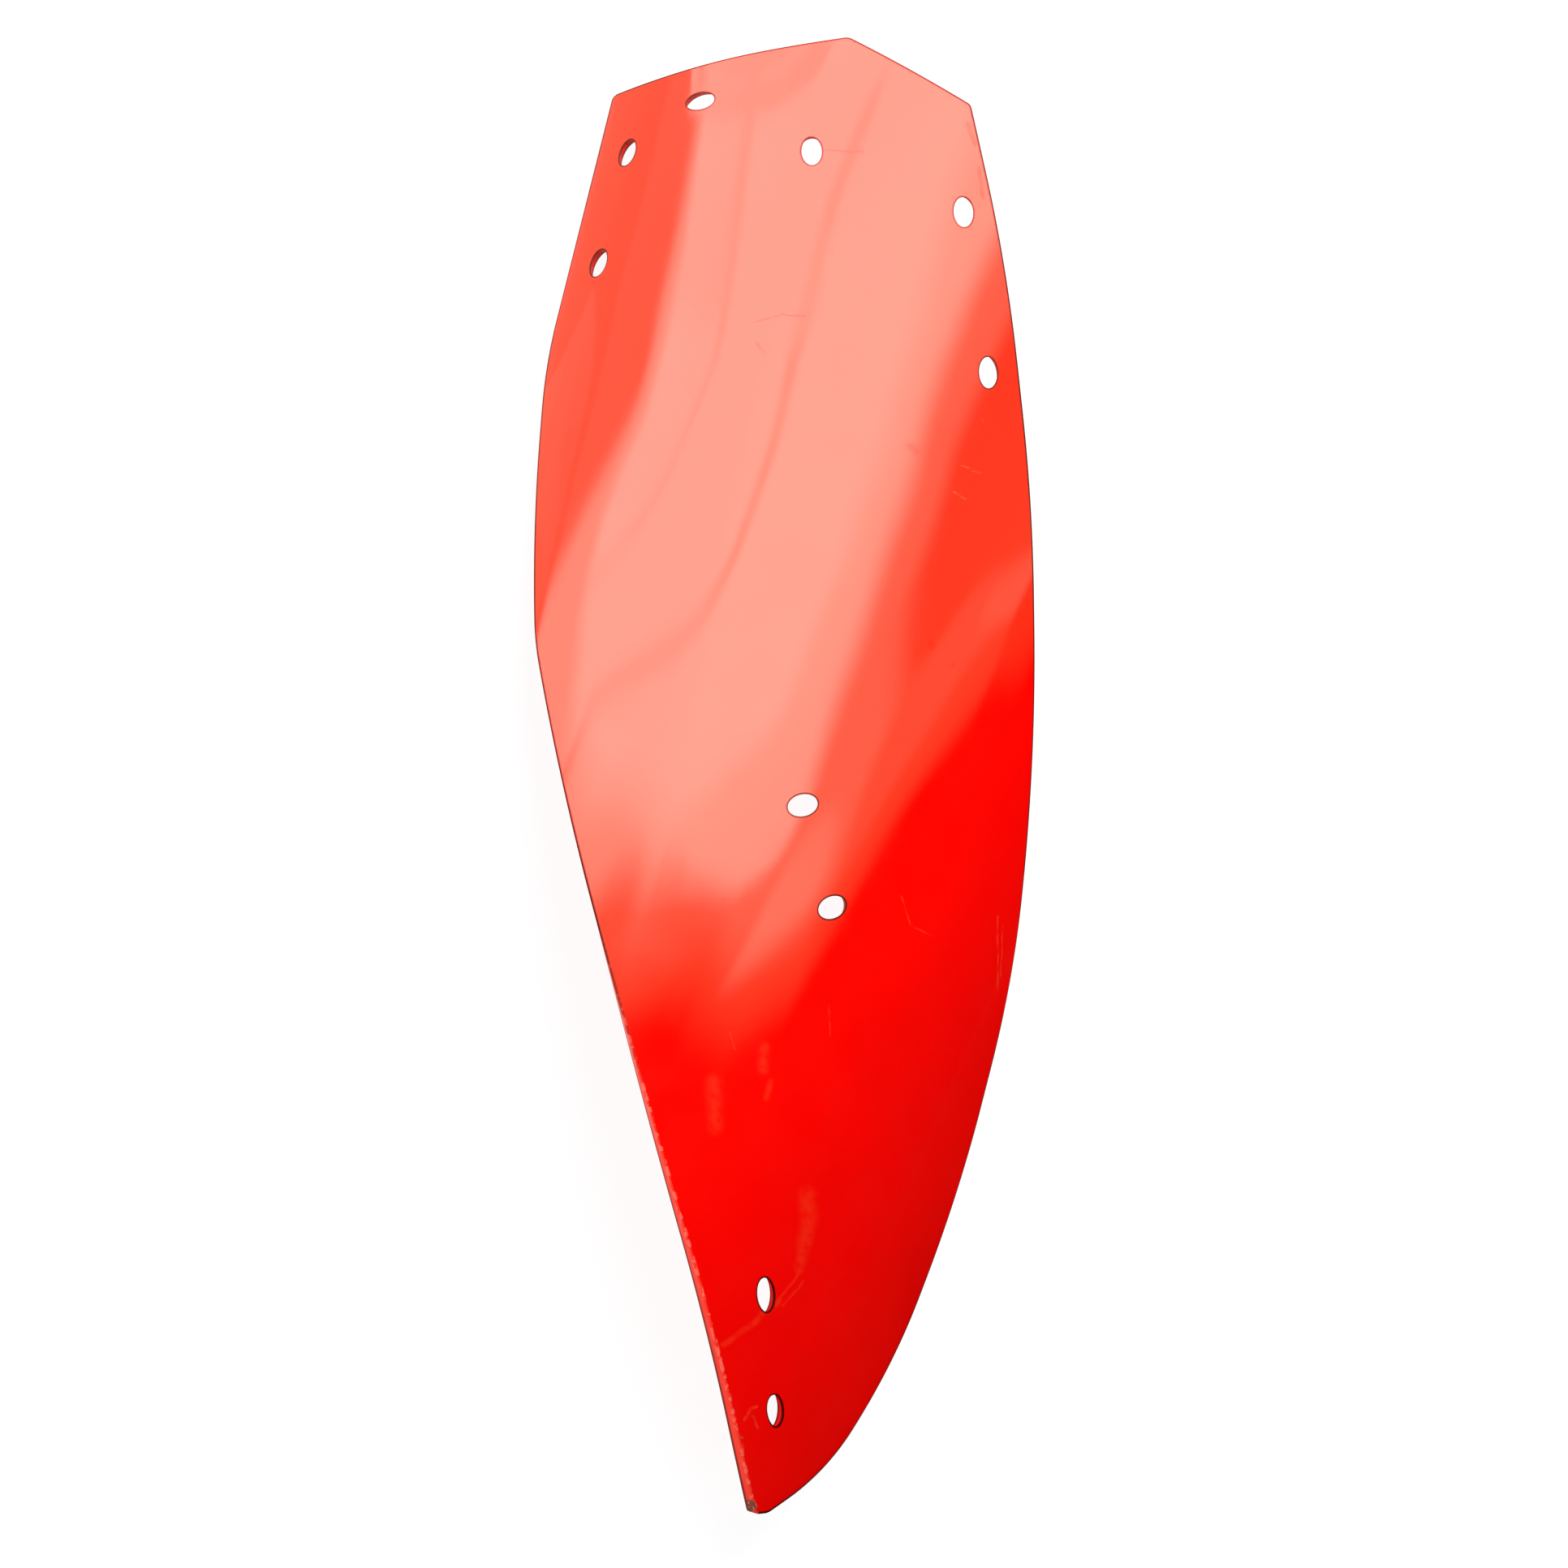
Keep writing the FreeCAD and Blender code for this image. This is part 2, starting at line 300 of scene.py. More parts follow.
def hole_rims(turn, run, slant):
    """Corner points of one hole on the working face and on the back."""
    turn, slant = math.radians(turn), math.radians(slant)
    centre, axis = (row[0] for row in mould_surface(np.array([turn]), np.array([run])))
    ahead = mould_surface(np.array([turn]), np.array([run + 1]))[0][0]
    level_line = (ahead - centre) / np.linalg.norm(ahead - centre)
    sideways = np.cross(axis, level_line)
    long_axis = math.cos(slant) * level_line + math.sin(slant) * sideways
    short_axis = np.cross(axis, long_axis)
    angles = np.arange(RIM_POINTS) * 2 * math.pi / RIM_POINTS
    rims = []
    for level in (0.0, PLATE_THICKNESS):
        lift = np.full(RIM_POINTS, level)
        for _ in range(6):
            growth = BOLT_FLARE * (1 - lift / PLATE_THICKNESS)
            rim = (centre + lift[:, None] * axis
                   + ((BOLT_LONG / 2 + growth) * np.cos(angles))[:, None] * long_axis
                   + ((BOLT_SHORT / 2 + growth) * np.sin(angles))[:, None] * short_axis)
            spots, looks = mould_surface(*settle(rim, level))
            lift += (spots + level * looks - rim) @ axis
        rims.append(rim)
    return rims


# %% [markdown]
# Cut steel plate has dulled arrises, here half a millimetre to a millimetre, and they catch the
# light all round the leaf and the holes. The same helper wraps every edge: it walks from one face
# round the first arris, down the cut wall and round the second arris to the other face, one ring of
# points at each step. Each ring notes a painted shade: a dark outline painted on the arris, which
# fades in over a short run on to the face. Where the cut wall of the leaf faces the view from the
# back, the painted shade is left off and the arris above it carries pale rubbed specks instead.

# %% Rings round a cut edge
ARRIS_SHARES = (0.0, 0.25, 0.5, 0.75, 1.0)
WALL_SHARES = (0.33, 0.67)
RUN_ON = 1.1
WALL_HIDDEN = 0.1
WALL_SHOWN = 0.35


def ring_tangents(ring):
    """Unit directions along a closed ring of points."""
    tangents = np.roll(ring, -1, 0) - np.roll(ring, 1, 0)
    return tangents / np.linalg.norm(tangents, axis=1, keepdims=True)


def edge_rings(face_rim, back_rim, radius, rubbed):
    """Rings from the working face over the cut edge to the back, with the painted shade and the
    specks of each.
    """
    rings = []
    dark = []
    bright = []
    wall = back_rim - face_rim
    wall_length = np.linalg.norm(wall, axis=1, keepdims=True)
    wall = wall / wall_length
    # How far the cut wall faces the view: there the painted shade of the arris is left off.
    outward = np.cross(ring_tangents(back_rim), wall)[:, 2]
    shown = rubbed * np.clip((outward - WALL_HIDDEN) / (WALL_SHOWN - WALL_HIDDEN), 0, 1)
    for rim, level, down in ((face_rim, 0.0, wall), (back_rim, PLATE_THICKNESS, -wall)):
        looks = mould_surface(*settle(rim, level))[1]
        inward = np.cross(looks, ring_tangents(rim))
        on_face, on_wall = rim + inward * radius, rim + down * radius
        rounded = [(1 - share) ** 2 * on_face + 2 * share * (1 - share) * rim + share ** 2 * on_wall
                   for share in ARRIS_SHARES]
        shine = shown if level else 0 * shown
        rings.append([rim + inward * (radius + RUN_ON)] + rounded)
        # Painted shade: dark on every arris ring, except where the wall faces the view from the
        # back.
        dark.append([0 * shown] + [1 - shine] * len(ARRIS_SHARES))
        bright.append([0 * shown] + [shine] * len(ARRIS_SHARES))
    start, end = rings[0][-1], rings[1][-1]
    between = [start + (end - start) * share for share in WALL_SHARES]
    walls = [0 * shown] * len(between)
    rings = rings[0] + between + rings[1][::-1]
    return rings, dark[0] + walls + dark[1][::-1], bright[0] + walls + bright[1][::-1]


EDGE_ARRIS = 0.9
RIM_ARRIS = 0.5
turns, runs = settle(outline, 0.0)
spots, looks = mould_surface(turns, runs)
edges = [edge_rings(spots, spots + PLATE_THICKNESS * looks, EDGE_ARRIS, 1)]
for name, (turn, run, slant) in BOLT_HOLES.items():
    face_rim, back_rim = hole_rims(turn, run, slant)
    edges.append(edge_rings(face_rim[::-1], back_rim[::-1], RIM_ARRIS, 0))
print(len(edges), "cut edges, each of", len(edges[0][0]), "rings")

# %% [markdown]
# Between the edges each face is one smooth skin. The points inside lie on the straight lines of
# the surface, in staggered rows, and a constrained Delaunay triangulation ties them to the rings
# without crossing a hole. It works flat, on the map of guide length against run.

# %% Fill a face between its rings
ROW_STEP = 5.0
LINE_STEP = 7.0
CLEARANCE = 2.6


def inside(points, loop):
    """Whether each flat point lies inside a closed loop, by counting crossings."""
    crossings = np.zeros(len(points), int)
    for start, end in zip(loop, np.roll(loop, -1, 0)):
        spans = (start[1] > points[:, 1]) != (end[1] > points[:, 1])
        rise = end[1] - start[1]
        if rise == 0:
            continue
        meets = start[0] + (points[:, 1] - start[1]) * (end[0] - start[0]) / rise
        crossings += spans & (points[:, 0] < meets)
    return crossings % 2 == 1


def flat_map(points, level):
    """Guide length and run of points that lie on one level of the plate."""
    turn, run = settle(points, level)
    return np.stack([guide_length(turn), run], 1)


def staggered_rows():
    """Rows of points over the whole surface, every other row shifted by half a step."""
    lengths = np.arange(*guide_length(TURN_RANGE), ROW_STEP)
    rows = []
    for index, length in enumerate(lengths):
        runs = np.arange(*RUN_RANGE, LINE_STEP) + (index % 2) * LINE_STEP / 2
        rows.append(np.stack([np.full(len(runs), length), runs], 1))
    return np.concatenate(rows)


def fill_face(loops, level):
    """Inner points and triangles of one face; loop points are numbered first, in order."""
    flat_loops = [flat_map(loop, level) for loop in loops]
    rows = staggered_rows()
    keep = inside(rows, flat_loops[0])
    for flat_loop in flat_loops[1:]:
        keep &= ~inside(rows, flat_loop)
    rows = rows[keep]
    borders = np.concatenate(flat_loops)
    gaps = np.array([((borders - row) ** 2).sum(1).min() for row in rows])
    rows = rows[gaps > CLEARANCE ** 2]
    sides = []
    first = 0
    for flat_loop in flat_loops:
        count = len(flat_loop)
        sides.extend((first + index, first + (index + 1) % count) for index in range(count))
        first += count
    flat = np.concatenate([borders, rows])
    result = delaunay_2d_cdt([Vector(point) for point in flat], sides, [], 0, 1e-6)
    triangles = np.array([tuple(result[3][corner][0] for corner in face) for face in result[2]])
    middles = flat[triangles].mean(1)
    keep = inside(middles, flat_loops[0])
    for flat_loop in flat_loops[1:]:
        keep &= ~inside(middles, flat_loop)
    return rows, triangles[keep]


# %% [markdown]
# Now the pieces are joined to one closed mesh: the rings of every cut edge, then the skin of the
# working face and the skin of the back. Normals are set from the formula on the faces and
# from the rings on the edges. A map laid over the view square on to the plate goes with it, so
# that a scratch or a chip can be placed by how far across and up it is.

# %% Build the plate
VIEW_DISTANCE = 2000.0


def view_map(points):
    """Where each point falls on the picture plane of the square view, in metres."""
    scale = VIEW_DISTANCE / (VIEW_DISTANCE - points[:, 2])
    return points[:, :2] * scale[:, None] * MM


def ring_normals(rings):
    """Outward directions on a band of rings."""
    band = np.stack(rings)
    around = np.roll(band, -1, 1) - np.roll(band, 1, 1)
    over = np.gradient(band, axis=0)
    normals = np.cross(around, over)
    return normals / np.linalg.norm(normals, axis=-1, keepdims=True)


points, normals, dark, bright, faces, skins = [], [], [], [], [], []
total = 0
face_loops, back_loops = [], []
for number, (rings, ring_dark, ring_bright) in enumerate(edges):
    count = len(rings[0])
    band_normals = ring_normals(rings)
    for level, end in ((0.0, 0), (PLATE_THICKNESS, -1)):
        turn, run = settle(rings[end], level)
        rings[end] = pressed_face(turn, run, level)
        facing = 1 if level else -1
        band_normals[end] = facing * pressed_normals(turn, run, level)
        inner = 1 if end == 0 else -2
        band_normals[inner] = band_normals[end]
    points.extend(rings)
    normals.extend(band_normals)
    dark.extend(ring_dark)
    bright.extend(ring_bright)
    wall_skin = 3 if number else 2
    for step in range(len(rings) - 1):
        for index in range(count):
            here, there = total + step * count + index, total + step * count + (index + 1) % count
            faces.append((here, there, there + count, here + count))
            skins.append(wall_skin if 0 < step < len(rings) - 2 else (0 if step == 0 else 1))
    face_loops.append((total, rings[0]))
    total += count * len(rings)
    back_loops.append((total - count, rings[-1]))

for loops, level in ((face_loops, 0.0), (back_loops, PLATE_THICKNESS)):
    rows, triangles = fill_face([ring for first, ring in loops], level)
    numbers = [first + np.arange(len(ring)) for first, ring in loops]
    numbers = np.concatenate(numbers + [total + np.arange(len(rows))])
    turn, run = guide_turn(rows[:, 0]), rows[:, 1]
    facing = 1 if level else -1
    points.append(pressed_face(turn, run, level))
    normals.append(facing * pressed_normals(turn, run, level))
    dark.append(np.zeros(len(rows)))
    bright.append(np.zeros(len(rows)))
    faces.extend(map(tuple, numbers[triangles[:, ::-1]] if level else numbers[triangles]))
    skins.extend([1 if level else 0] * len(triangles))
    total += len(rows)
points, normals = np.concatenate(points), np.concatenate(normals)

mesh = bpy.data.meshes.new("mouldboard_plate")
mesh.from_pydata(at_rest(points).tolist(), [], [tuple(int(i) for i in face) for face in faces])
mesh.polygons.foreach_set("material_index", skins)
mesh.polygons.foreach_set("use_smooth", [True] * len(mesh.polygons))
# The first attribute is a painted shade, the dark outline along the arrises; the second holds their
# pale rubbed specks.
for name, values in (("arris_painted_shade", dark), ("arris_bright", bright)):
    mesh.attributes.new(name, "FLOAT", "POINT").data.foreach_set("value", np.concatenate(values))
mesh.uv_layers.new(name="view_map")
corners = np.zeros(len(mesh.loops), int)
mesh.loops.foreach_get("vertex_index", corners)
mesh.uv_layers["view_map"].data.foreach_set("uv", view_map(points)[corners].ravel())
mesh.normals_split_custom_set_from_vertices((normals @ REST_TURN.T).tolist())
plate = bpy.data.objects.new("mouldboard_plate", mesh)
bpy.context.collection.objects.link(plate)
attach(plate, "root")
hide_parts("mouldboard")

check = bmesh.new()
check.from_mesh(mesh)
open_edges = sum(not edge.is_manifold for edge in check.edges)
print("plate:", len(mesh.polygons), "faces,", open_edges, "open edges,",
      "volume", round(check.calc_volume() * 1e6, 1), "cm3")
check.free()

# %% [markdown]
# The paint is one thin gloss enamel over bare steel, so it has four kinds of detail. Its tone and
# gloss drift a little where the spray lay thick or thin. It carries pale streaks, and scratches from
# handling. Its arrises carry a painted shade, a dark outline along the cut edges, and it is chipped
# through at the wing tip. Each kind is a node group with named inputs, placed as often as it is
# needed. A few short helpers come first, so that the groups read like formulas.

# %% Node helpers
def feed(tree, node, key, value):
    """Link a socket to a node's input, or set the input to a plain value."""
    if isinstance(value, bpy.types.NodeSocket):
        tree.links.new(value, node.inputs[key])
    else:
        node.inputs[key].default_value = value


def place(tree, kind, inputs=None, **settings):
    """Add a node, set its properties, then link or set its inputs."""
    node = tree.nodes.new(kind)
    for key, value in settings.items():
        setattr(node, key, value)
    for key, value in (inputs or {}).items():
        feed(tree, node, key, value)
    return node


def sums(tree, operation, first, second, clamp=False):
    """Result of a sum of two values."""
    node = place(tree, "ShaderNodeMath", {0: first, 1: second}, operation=operation, use_clamp=clamp)
    return node.outputs[0]


def arrows(tree, operation, first, second=None):
    """Result of a sum of vectors: a vector, or the value for a length or a dot product."""
    inputs = {0: first} if second is None else {0: first, 1: second}
    node = place(tree, "ShaderNodeVectorMath", inputs, operation=operation)
    return node.outputs["Value"] if operation in ("LENGTH", "DOT_PRODUCT") else node.outputs[0]


def scaled(tree, arrow, factor):
    """A vector made longer or shorter."""
    node = place(tree, "ShaderNodeVectorMath", {0: arrow, "Scale": factor}, operation="SCALE")
    return node.outputs[0]


def fade(tree, value, low, high, to_low=0.0, to_high=1.0):
    """Smooth step of a value between two limits."""
    node = place(tree, "ShaderNodeMapRange", {"Value": value, "From Min": low, "From Max": high,
                                              "To Min": to_low, "To Max": to_high},
                 interpolation_type="SMOOTHSTEP")
    return node.outputs["Result"]


def mix_values(tree, share, first, second):
    """Value between two values."""
    return place(tree, "ShaderNodeMix", {0: share, 2: first, 3: second}).outputs[0]


def mix_colors(tree, share, first, second):
    """Colour between two colours."""
    return place(tree, "ShaderNodeMix", {0: share, 6: first, 7: second}, data_type="RGBA").outputs[2]


def noise(tree, where, scale, detail=2.0):
    """Noise node with about so many bumps to the metre."""
    return place(tree, "ShaderNodeTexNoise", {"Vector": where, "Scale": scale, "Detail": detail})


def new_group(name, inputs, outputs):
    """Node group with named sockets; gives it, its given inputs and its result node."""
    group = bpy.data.node_groups.new(name, "ShaderNodeTree")
    for label, kind, value in inputs:
        socket = group.interface.new_socket(label, in_out="INPUT", socket_type="NodeSocket" + kind)
        if value is not None:
            socket.default_value = value
    for label, kind in outputs:
        group.interface.new_socket(label, in_out="OUTPUT", socket_type="NodeSocket" + kind)
    return group, group.nodes.new("NodeGroupInput").outputs, group.nodes.new("NodeGroupOutput")


def use(tree, group, inputs):
    """Place a node group with its own values; gives its outputs."""
    return place(tree, "ShaderNodeGroup", inputs, node_tree=group).outputs


# %% [markdown]
# A scratch or a scuff is a stroke, and it is drawn by distance. For each spot the group finds the
# nearest point on the straight way from start to end, after a little noise has bent it, and fades
# out past half the stroke's width. A soft edge makes a scuff and a hard edge a scratch. A second
# noise breaks it up, because whatever scraped along the paint skipped.

# %% Stroke group
def stroke_group():
    """Node group for one stroke on the view map."""
    group, given, result = new_group("stroke", [
        ("Map", "Vector", None), ("Start", "Vector", None), ("End", "Vector", None),
        ("Width", "Float", 0.001), ("Softness", "Float", 1.0), ("Bend", "Float", 0.001),
        ("Skips", "Float", 0.4)], [("Mask", "Float")])
    bend = noise(group, given["Map"], 55.0, 1.0).outputs["Color"]
    bend = scaled(group, arrows(group, "SUBTRACT", bend, (0.5, 0.5, 0.5)), given["Bend"])
    from_start = arrows(group, "SUBTRACT", arrows(group, "ADD", given["Map"], bend), given["Start"])
    way = arrows(group, "SUBTRACT", given["End"], given["Start"])
    share = sums(group, "DIVIDE", arrows(group, "DOT_PRODUCT", from_start, way),
                 arrows(group, "DOT_PRODUCT", way, way), clamp=True)
    off_way = arrows(group, "SUBTRACT", from_start, scaled(group, way, share))
    distance = arrows(group, "LENGTH", arrows(group, "MULTIPLY", off_way, (1.0, 1.0, 0.0)))
    rim = sums(group, "MULTIPLY", given["Width"], 0.5)
    full = sums(group, "MULTIPLY", rim, sums(group, "SUBTRACT", 1.0, given["Softness"]))
    stroke_mask = fade(group, distance, rim, full)
    broken = noise(group, given["Map"], 160.0, 3.0).outputs["Fac"]
    kept = fade(group, broken, given["Skips"], sums(group, "ADD", given["Skips"], 0.4))
    group.links.new(sums(group, "MULTIPLY", stroke_mask, kept), result.inputs["Mask"])
    return group


# %% [markdown]
# A chip is a ragged patch where the enamel has flaked off. It is a disc with a noisy rim, and a
# finer noise leaves flecks of primer on the brown steel. Along a rubbed arris the same kind of
# noise leaves a row of small bright specks.

# %% Chip and speck groups
def chip_group():
    """Node group for one ragged chip on the view map, with the flecks left in it."""
    group, given, result = new_group("chip", [
        ("Map", "Vector", None), ("Centre", "Vector", None), ("Radius", "Float", 0.003),
        ("Raggedness", "Float", 0.6)], [("Mask", "Float"), ("Flecks", "Float")])
    offset = arrows(group, "SUBTRACT", given["Map"], given["Centre"])
    distance = arrows(group, "LENGTH", arrows(group, "MULTIPLY", offset, (1.0, 1.0, 0.0)))
    ragged = sums(group, "SUBTRACT", noise(group, given["Map"], 260.0, 3.0).outputs["Fac"], 0.5)
    ragged = sums(group, "MULTIPLY", ragged, given["Raggedness"])
    rim = sums(group, "MULTIPLY", given["Radius"], sums(group, "ADD", 1.0, ragged))
    mask = fade(group, distance, rim, sums(group, "MULTIPLY", rim, 0.75))
    fine = noise(group, given["Map"], 520.0, 2.0).outputs["Fac"]
    group.links.new(mask, result.inputs["Mask"])
    group.links.new(fade(group, fine, 0.52, 0.62), result.inputs["Flecks"])
    return group


def speck_group():
    """Node group for small chips where an arris was rubbed bright."""
    group, given, result = new_group("arris_specks", [
        ("Place", "Vector", None), ("Rubbed", "Float", 0.0), ("Amount", "Float", 0.5)],
        [("Mask", "Float")])
    fine = noise(group, given["Place"], 210.0, 2.0).outputs["Fac"]
    threshold = sums(group, "SUBTRACT", 1.0, given["Amount"])
    patches = fade(group, fine, threshold, sums(group, "ADD", threshold, 0.06))
    group.links.new(sums(group, "MULTIPLY", patches, given["Rubbed"]), result.inputs["Mask"])
    return group


# %% [markdown]
# The enamel itself is nearly even. From a step away its tone drifts a little, and its gloss is
# slightly hazy in patches. Under a lens it has orange peel, a pebbly skin of about two
# millimetres, which goes into the bump.

# %% Enamel group
def enamel_group():
    """Node group for the tone, gloss and skin of sprayed enamel."""
    group, given, result = new_group("enamel", [
        ("Place", "Vector", None), ("Thin", "Color", (0.9, 0.002, 0.0005, 1)),
        ("Thick", "Color", (0.94, 0.003, 0.001, 1)), ("Gloss Low", "Float", 0.08),
        ("Gloss High", "Float", 0.12)],
        [("Color", "Color"), ("Roughness", "Float"), ("Skin", "Float")])
    drift = fade(group, noise(group, given["Place"], 9.0, 3.0).outputs["Fac"], 0.3, 0.7)
    haze = noise(group, given["Place"], 30.0, 4.0).outputs["Fac"]
    peel = noise(group, given["Place"], 450.0, 1.0).outputs["Fac"]
    group.links.new(mix_colors(group, drift, given["Thin"], given["Thick"]), result.inputs["Color"])
    group.links.new(fade(group, haze, 0.35, 0.65, given["Gloss Low"], given["Gloss High"]),
                    result.inputs["Roughness"])
    group.links.new(peel, result.inputs["Skin"])
    return group


stroke = stroke_group()
chip = chip_group()
specks = speck_group()
enamel = enamel_group()
print("node groups:", [group.name for group in bpy.data.node_groups])

# %% [markdown]
# Marks are listed on the bulging back, by how far across and up the view they lie in
# millimetres. The pale soft strokes are a curved streak that runs past the tail bolts, smears
# beside the last bolt and a rubbed patch. Scratches are thin and paler.

# %% Marks on the back
PALE_STREAKS = [
    ((18, -313), (19, -330), 20.0),
    ((19, -330), (16, -350), 17.0),
    ((16, -350), (12, -368), 12.0),
    ((12, -372), (-3, -390), 3.5),
    ((15, -378), (0, -396), 3.0),
    ((-3, -392), (-24, -410), 8.0),
    ((-24, -410), (-45, -425), 7.0),
    ((-14, -203), (-15, -219), 13.0),
    ((-10, -229), (-12, -240), 8.0),
    ((-52, -228), (-50, -262), 18.0),
]
SCRATCHES = [
    ((-29, -481), (-25, -474), 4.0),
    ((-26, -473), (-20, -471), 3.5),
    ((-21, -479), (-19, -487), 2.5),
    ((-31, -494), (-30, -503), 3.0),
    ((133, 231), (139, 229), 2.2),
    ((141, 227), (147, 225), 2.2),
    ((127, 211), (136, 206), 2.4),
    ((146, 269), (149, 264), 2.0),
    ((160, -105), (160, -160), 1.6),
    ((164, -112), (162, -150), 1.4),
    ((88, -90), (95, -112), 1.4),
    ((95, -112), (112, -120), 1.4),
    ((34, -171), (35, -194), 1.5),
    ((-40, -190), (-36, -205), 1.5),
]
DULL_SPOTS = [
    ((94, 245), (99, 241), 9.0),
    ((126, 83), (127, 82), 5.0),
    ((110, 98), (112, 96), 7.0),
    ((138, 485), (143, 470), 6.0),
    ((146, 452), (149, 430), 5.0),
    ((-21, 338), (-3, 342), 2.4),
    ((-2, 344), (16, 342), 2.4),
    ((-20, 322), (-15, 315), 3.0),
    ((30, 466), (60, 465), 2.2),
]
CHIPS = [
    ((-25.0, -546.0), 6.0, 0.9),
    ((-31.0, -494.0), 1.0, 1.0),
    ((-23.0, -478.0), 0.9, 1.0),
]


def on_map(place_mm):
    """Place across and up the view in millimetres as a vector on the view map."""
    return (place_mm[0] * MM, place_mm[1] * MM, 0.0)


def strongest(tree, masks):
    """The larger of all masks at each spot."""
    total_mask = masks[0]
    for mask in masks[1:]:
        total_mask = sums(tree, "MAXIMUM", total_mask, mask)
    return total_mask


def strokes(tree, flat, marks, softness, bend, skips):
    """Mask of many strokes on the view map."""
    return strongest(tree, [
        use(tree, stroke, {"Map": flat, "Start": on_map(start), "End": on_map(end),
                           "Width": width * MM, "Softness": softness, "Bend": bend * MM,
                           "Skips": skips})["Mask"] for start, end, width in marks])


print(len(PALE_STREAKS), "scuffs,", len(SCRATCHES), "scratches,", len(DULL_SPOTS), "dull_spots")

# %% [markdown]
# One function mixes a material from these layers: enamel, then pale streaks and scratches that
# lighten it, dull spots that darken what it mirrors, the painted shade and pale specks of the
# arrises, and last the bare chips. The painted shade is a dark outline along the arrises, and it
# also gets a large share of metal, so that it mirrors little of what stands round; the dull spots
# get a small share of metal. Both faces are full gloss and only the back carries marks. The
# sheared edge took less paint and is duller, and the walls of the bolt holes got hardly any.

# %% Paint materials
THIN_RED = (0.90, 0.0006, 0.0001, 1.0)
THICK_RED = (0.95, 0.0010, 0.0002, 1.0)
PALE_MARK_RED = (0.95, 0.13, 0.035, 1.0)
PAINTED_SHADE_RED = (0.13, 0.004, 0.003, 1.0)
BARE_STEEL = (0.20, 0.042, 0.024, 1.0)
FLECK_PINK = (0.60, 0.14, 0.10, 1.0)
SPECK_PINK = (0.95, 0.12, 0.08, 1.0)
EDGE_THIN = (0.90, 0.018, 0.006, 1.0)
EDGE_THICK = (0.95, 0.030, 0.011, 1.0)
BORE_THIN = (0.85, 0.003, 0.001, 1.0)
BORE_THICK = (0.90, 0.004, 0.001, 1.0)
SPECULAR_TINT = (1.0, 1.0, 0.70, 1.0)


def paint(name, thin, thick, gloss, specular, marked):
    """Red enamel between two tones, with the marks of the back where it is marked."""
    material = bpy.data.materials.new(name)
    material.use_nodes = True
    tree = material.node_tree
    shader = tree.nodes["Principled BSDF"]
    shader.inputs["Specular IOR Level"].default_value = specular
    shader.inputs["Specular Tint"].default_value = SPECULAR_TINT
    spot = place(tree, "ShaderNodeTexCoord").outputs["Object"]
    flat = place(tree, "ShaderNodeUVMap", uv_map="view_map").outputs["UV"]
    base = use(tree, enamel, {"Place": spot, "Thin": thin, "Thick": thick,
                              "Gloss Low": gloss[0], "Gloss High": gloss[1]})
    color, roughness = base["Color"], base["Roughness"]
    height = sums(tree, "MULTIPLY", base["Skin"], 0.10)
    metallic_share = 0.0
    if marked:
        pale_streaks = strokes(tree, flat, PALE_STREAKS, 1.0, 4.0, 0.20)
        scratches = strokes(tree, flat, SCRATCHES, 1.0, 2.0, 0.30)
        dull_spots = strokes(tree, flat, DULL_SPOTS, 1.0, 3.0, 0.15)
        pale = sums(tree, "MAXIMUM", sums(tree, "MULTIPLY", pale_streaks, 0.12),
                    sums(tree, "MULTIPLY", scratches, 0.32))
        color = mix_colors(tree, pale, color, PALE_MARK_RED)
        roughness = sums(tree, "ADD", roughness, sums(tree, "MULTIPLY", pale, 0.3))
        metallic_share = sums(tree, "MULTIPLY", dull_spots, 0.25)
    # Painted shade: a dark outline along the arrises, with a large share of metal so that it mirrors
    # little.
    dark = place(tree, "ShaderNodeAttribute", attribute_name="arris_painted_shade").outputs["Fac"]
    color = mix_colors(tree, sums(tree, "POWER", dark, 0.5), color, PAINTED_SHADE_RED)
    roughness = mix_values(tree, dark, roughness, 0.4)
    metallic_share = sums(tree, "MAXIMUM", metallic_share, sums(tree, "MULTIPLY", dark, 0.92))
    rubbed = place(tree, "ShaderNodeAttribute", attribute_name="arris_bright").outputs["Fac"]
    bright = use(tree, specks, {"Place": spot, "Rubbed": rubbed})["Mask"]
    color = mix_colors(tree, bright, color, SPECK_PINK)
    for centre, radius, ragged in CHIPS:
        bare = use(tree, chip, {"Map": flat, "Centre": on_map(centre), "Radius": radius * MM,
                                "Raggedness": ragged})
        steel = mix_colors(tree, bare["Flecks"], BARE_STEEL, FLECK_PINK)
        color = mix_colors(tree, bare["Mask"], color, steel)
        roughness = mix_values(tree, bare["Mask"], roughness, 0.6)
        height = sums(tree, "SUBTRACT", height, sums(tree, "MULTIPLY", bare["Mask"], 0.3))
    bump = place(tree, "ShaderNodeBump", {"Height": height, "Distance": 0.0002, "Strength": 0.5})
    tree.links.new(color, shader.inputs["Base Color"])
    tree.links.new(roughness, shader.inputs["Roughness"])
    tree.links.new(metallic_share, shader.inputs["Metallic"])
    tree.links.new(bump.outputs["Normal"], shader.inputs["Normal"])
    return material


FULL_GLOSS = (0.07, 0.10)
for material in (paint("face_enamel", THIN_RED, THICK_RED, FULL_GLOSS, 1.0, False),
                 paint("back_enamel", THIN_RED, THICK_RED, FULL_GLOSS, 1.0, True),
                 paint("edge_enamel", EDGE_THIN, EDGE_THICK, (0.35, 0.50), 0.25, False),
                 paint("bore_enamel", BORE_THIN, BORE_THICK, (0.50, 0.60), 0.1, False)):
    mesh.materials.append(material)
print("materials:", [material.name for material in mesh.materials])

